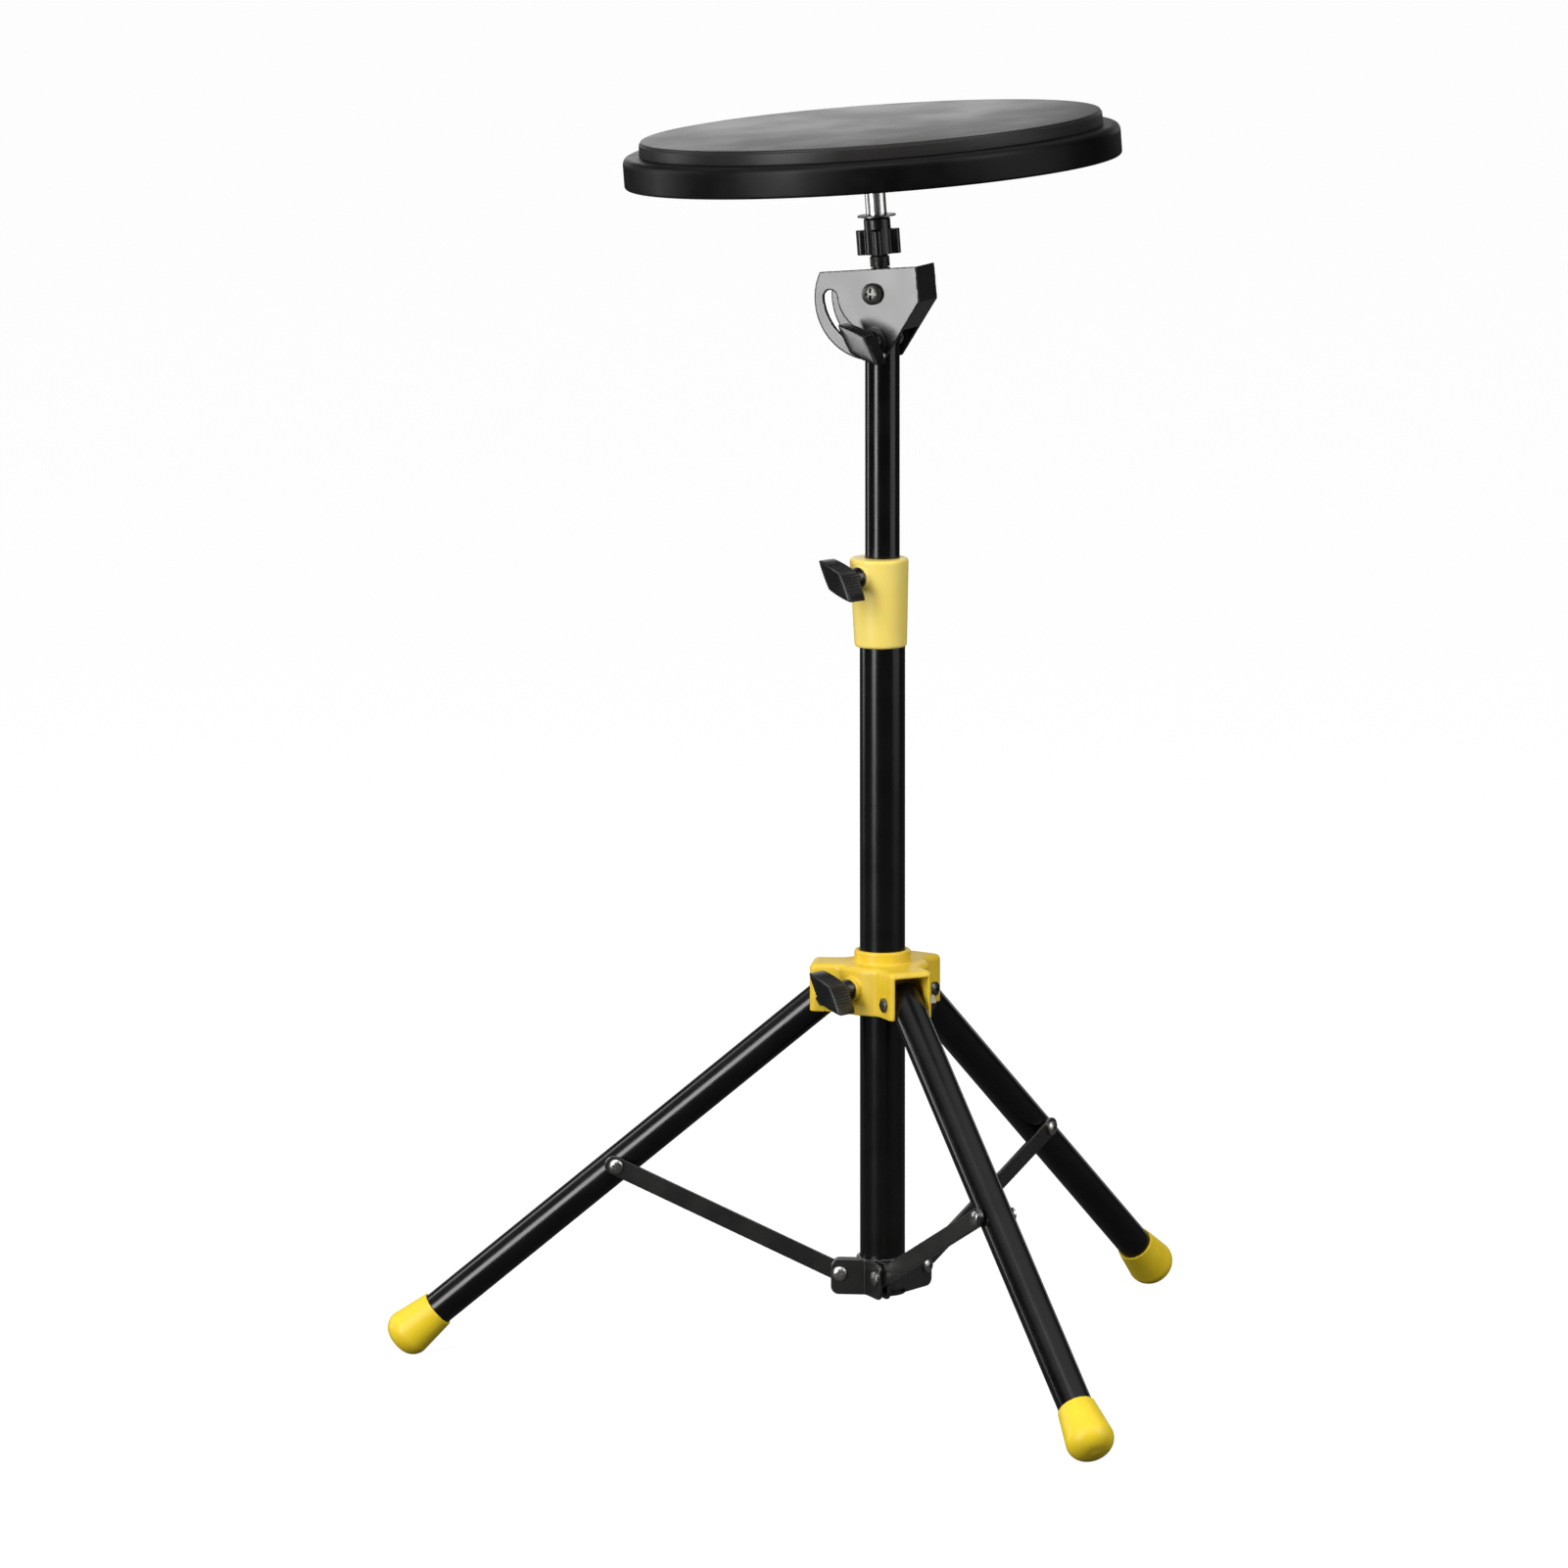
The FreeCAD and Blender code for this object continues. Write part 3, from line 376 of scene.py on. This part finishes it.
def axis_frame(joint, lean=0.0):
    """Frame at a joint: Z along its axis, X level to the right of a viewer facing it, then leant."""
    z = Vector(JOINTS[joint]["axis"]).normalized()
    x = Vector((0, 0, 1)).cross(z)
    if x.length < 0.1:
        x = Vector((1, 0, 0)) - z * z.x
    x.normalize()
    y = z.cross(x)
    turned = Matrix((x, y, z)).transposed().to_4x4() @ Matrix.Rotation(math.radians(lean), 4, "Z")
    return Matrix.Translation(JOINTS[joint]["pos_m"]) @ turned


def extent(node, placement):
    """Largest radius, lowest and highest point of a CAD node in a frame of its own, in mm."""
    inverse = placement.inverted()
    points = [inverse @ v.co for v in frame["nodes"][node].data.vertices]
    radius = max(p.xy.length for p in points)
    heights = [p.z for p in points]
    return radius / MM, min(heights) / MM, max(heights) / MM


def settle(piece, placement, body, node, materials):
    """Put a piece in its place, in the finish of the CAD node that it stands for."""
    piece.matrix_world = placement
    piece.data.materials.append(materials[SLOTS[node]])
    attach(piece, body)
    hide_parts(node)


# ---- pieces -----------------------------------------------------------------------------------
def grip_outline(inset):
    """Points of the rounded lozenge, evenly spaced along it."""
    a = GRIP_SPAN - inset * GRIP_TIP
    b = GRIP_HALF - inset
    power = 2 / GRIP_CURVE
    dense = []
    for k in range(GRIP_SAMPLES):
        t = 2 * math.pi * k / GRIP_SAMPLES
        c, s = math.cos(t), math.sin(t)
        along = a * math.copysign(abs(c) ** power, c)
        across = b * math.copysign(abs(s) ** power, s)
        dense.append(Vector((along, across)))
    lengths = [0.0]
    for p, q in zip(dense, dense[1:] + dense[:1]):
        lengths.append(lengths[-1] + (q - p).length)
    points = []
    k = 0
    for n in range(GRIP_POINTS):
        target = lengths[-1] * n / GRIP_POINTS
        while lengths[k + 1] < target:
            k += 1
        points.append(dense[k])
    return points


def grip_ring(z, share, size, rib):
    """One ring of the grip: its points in millimetres, dented between the ribs."""
    points = []
    for k, point in enumerate(grip_outline(size if share else 0.0)):
        angle = 2 * math.pi * k / GRIP_POINTS
        if not share:
            point = Vector((math.cos(angle), math.sin(angle))) * size
        flank = min(1.0, max(0.0, (GRIP_RIB_END - abs(point.x) / GRIP_SPAN) * GRIP_RIB_FADE))
        dent = GRIP_RIB * (flank * rib) * (0.5 - 0.5 * math.cos(angle * GRIP_RIBS))
        point = point * (1 - dent / max(point.length, 1.0))
        points.append((point.x, point.y, z))
    return points


def wing_head(name):
    """Lozenge grip with ribbed flanks and a pillowed face on a round skirt."""
    mesh = bmesh.new()
    rings = []
    for ring in GRIP_RINGS:
        rings.append([mesh.verts.new((x * MM, y * MM, z * MM)) for x, y, z in grip_ring(*ring)])
    mesh.faces.new(rings[0])
    skin(mesh, rings, GRIP_POINTS)
    mesh.faces.new(rings[-1])
    return finished(name, mesh)


def add_wing_heads(materials):
    """The three wing bolts' grips, all at the same turn about their screws."""
    for wing in WINGS:
        piece = wing_head(wing + "_wing_grip")
        piece.data.set_sharp_from_angle(angle=math.radians(GRIP_CREASE))
        place = axis_frame(wing + "_wing_turn", -GRIP_TURN)
        settle(piece, place, wing + "_wing", wing + "_wing_head", materials)


def add_pad(materials):
    """Board with a rounded shoulder and a rubber face with a fine moulded lip."""
    place = axis_frame("pad_turn")
    r, low, high = extent("base_board", place)
    corners = [(0, low, 0), (r, low, BOARD_FOOT), (r, high, BOARD_SHOULDER), (0, high, 0)]
    board = lathe("pad_board", eased(corners, BOARD_STEPS), PAD_SEGMENTS)
    settle(board, place, "pad", "base_board", materials)
    r, low, high = extent("playing_surface", place)
    lip = [(r - inward, low if down is None else high - down, ease) for inward, down, ease in FACE_LIP]
    face = lathe("pad_face", eased([(0, low, 0)] + lip + [(0, high, 0)], FACE_STEPS), PAD_SEGMENTS)
    settle(face, place, "pad", "playing_surface", materials)


def thread(radius, low, high, pitch, depth):
    """Outline of a run of thread crests."""
    points = []
    turns = int((high - low) / pitch)
    for k in range(turns):
        z = low + k * pitch
        points += [(radius - depth, z), (radius, z + pitch * 0.4), (radius, z + pitch * 0.6)]
    return points + [(radius - depth, low + turns * pitch)]


def add_stud(materials):
    """Stud with a thick threaded shoulder up to the lock knob and an M8 thread above it."""
    place = axis_frame("lock_knob_turn")
    r, low, high = extent("head_stud", place)
    seat = low + SPIGOT_LENGTH
    shoulder = extent("lock_knob", place)[1] - KNOB_GAP
    profile = [(0, low), (SPIGOT_R, low), (SPIGOT_R, seat)]
    profile += thread(r, seat, shoulder, SHOULDER_PITCH, SHOULDER_THREAD)
    profile += [(SPIGOT_R, shoulder)]
    profile += thread(SPIGOT_R, shoulder, high - PLAIN_TIP, SPIGOT_PITCH, SPIGOT_THREAD)
    profile += [(0, high)]
    stud = lathe("threaded_stud", profile, STUD_SEGMENTS)
    stud.data.set_sharp_from_angle(angle=math.radians(THREAD_CREASE))
    settle(stud, place, "head", "head_stud", materials)


def soften(name, node):
    """Round off a node's edges."""
    remesh = node.modifiers.new("soft", "REMESH")
    remesh.mode = "VOXEL"
    remesh.voxel_size = SOFT_NODES[name] * MM
    remesh.use_smooth_shade = True
    smooth = node.modifiers.new("ease", "SMOOTH")
    smooth.factor = SOFT_SHARE
    smooth.iterations = SOFT_PASSES


def finish_cad_nodes(materials):
    """Each node's finish, with soft edges on the moulded and stamped ones and crisp ones elsewhere."""
    for name, node in frame["nodes"].items():
        node.data.materials.clear()
        node.data.materials.append(materials[SLOTS[name]])
        node.data.shade_smooth()
        if name in SOFT_NODES:
            soften(name, node)
        else:
            node.data.set_sharp_from_angle(angle=math.radians(NODE_CREASE))


add_camera()
add_world()
add_floor()
for panel_settings in PANELS:
    add_panel(*panel_settings)
materials = {slot: surface(slot, **finish) for slot, finish in FINISHES.items()}
finish_cad_nodes(materials)
add_wing_heads(materials)
add_pad(materials)
add_stud(materials)
bpy.context.scene.view_settings.view_transform = "Standard"
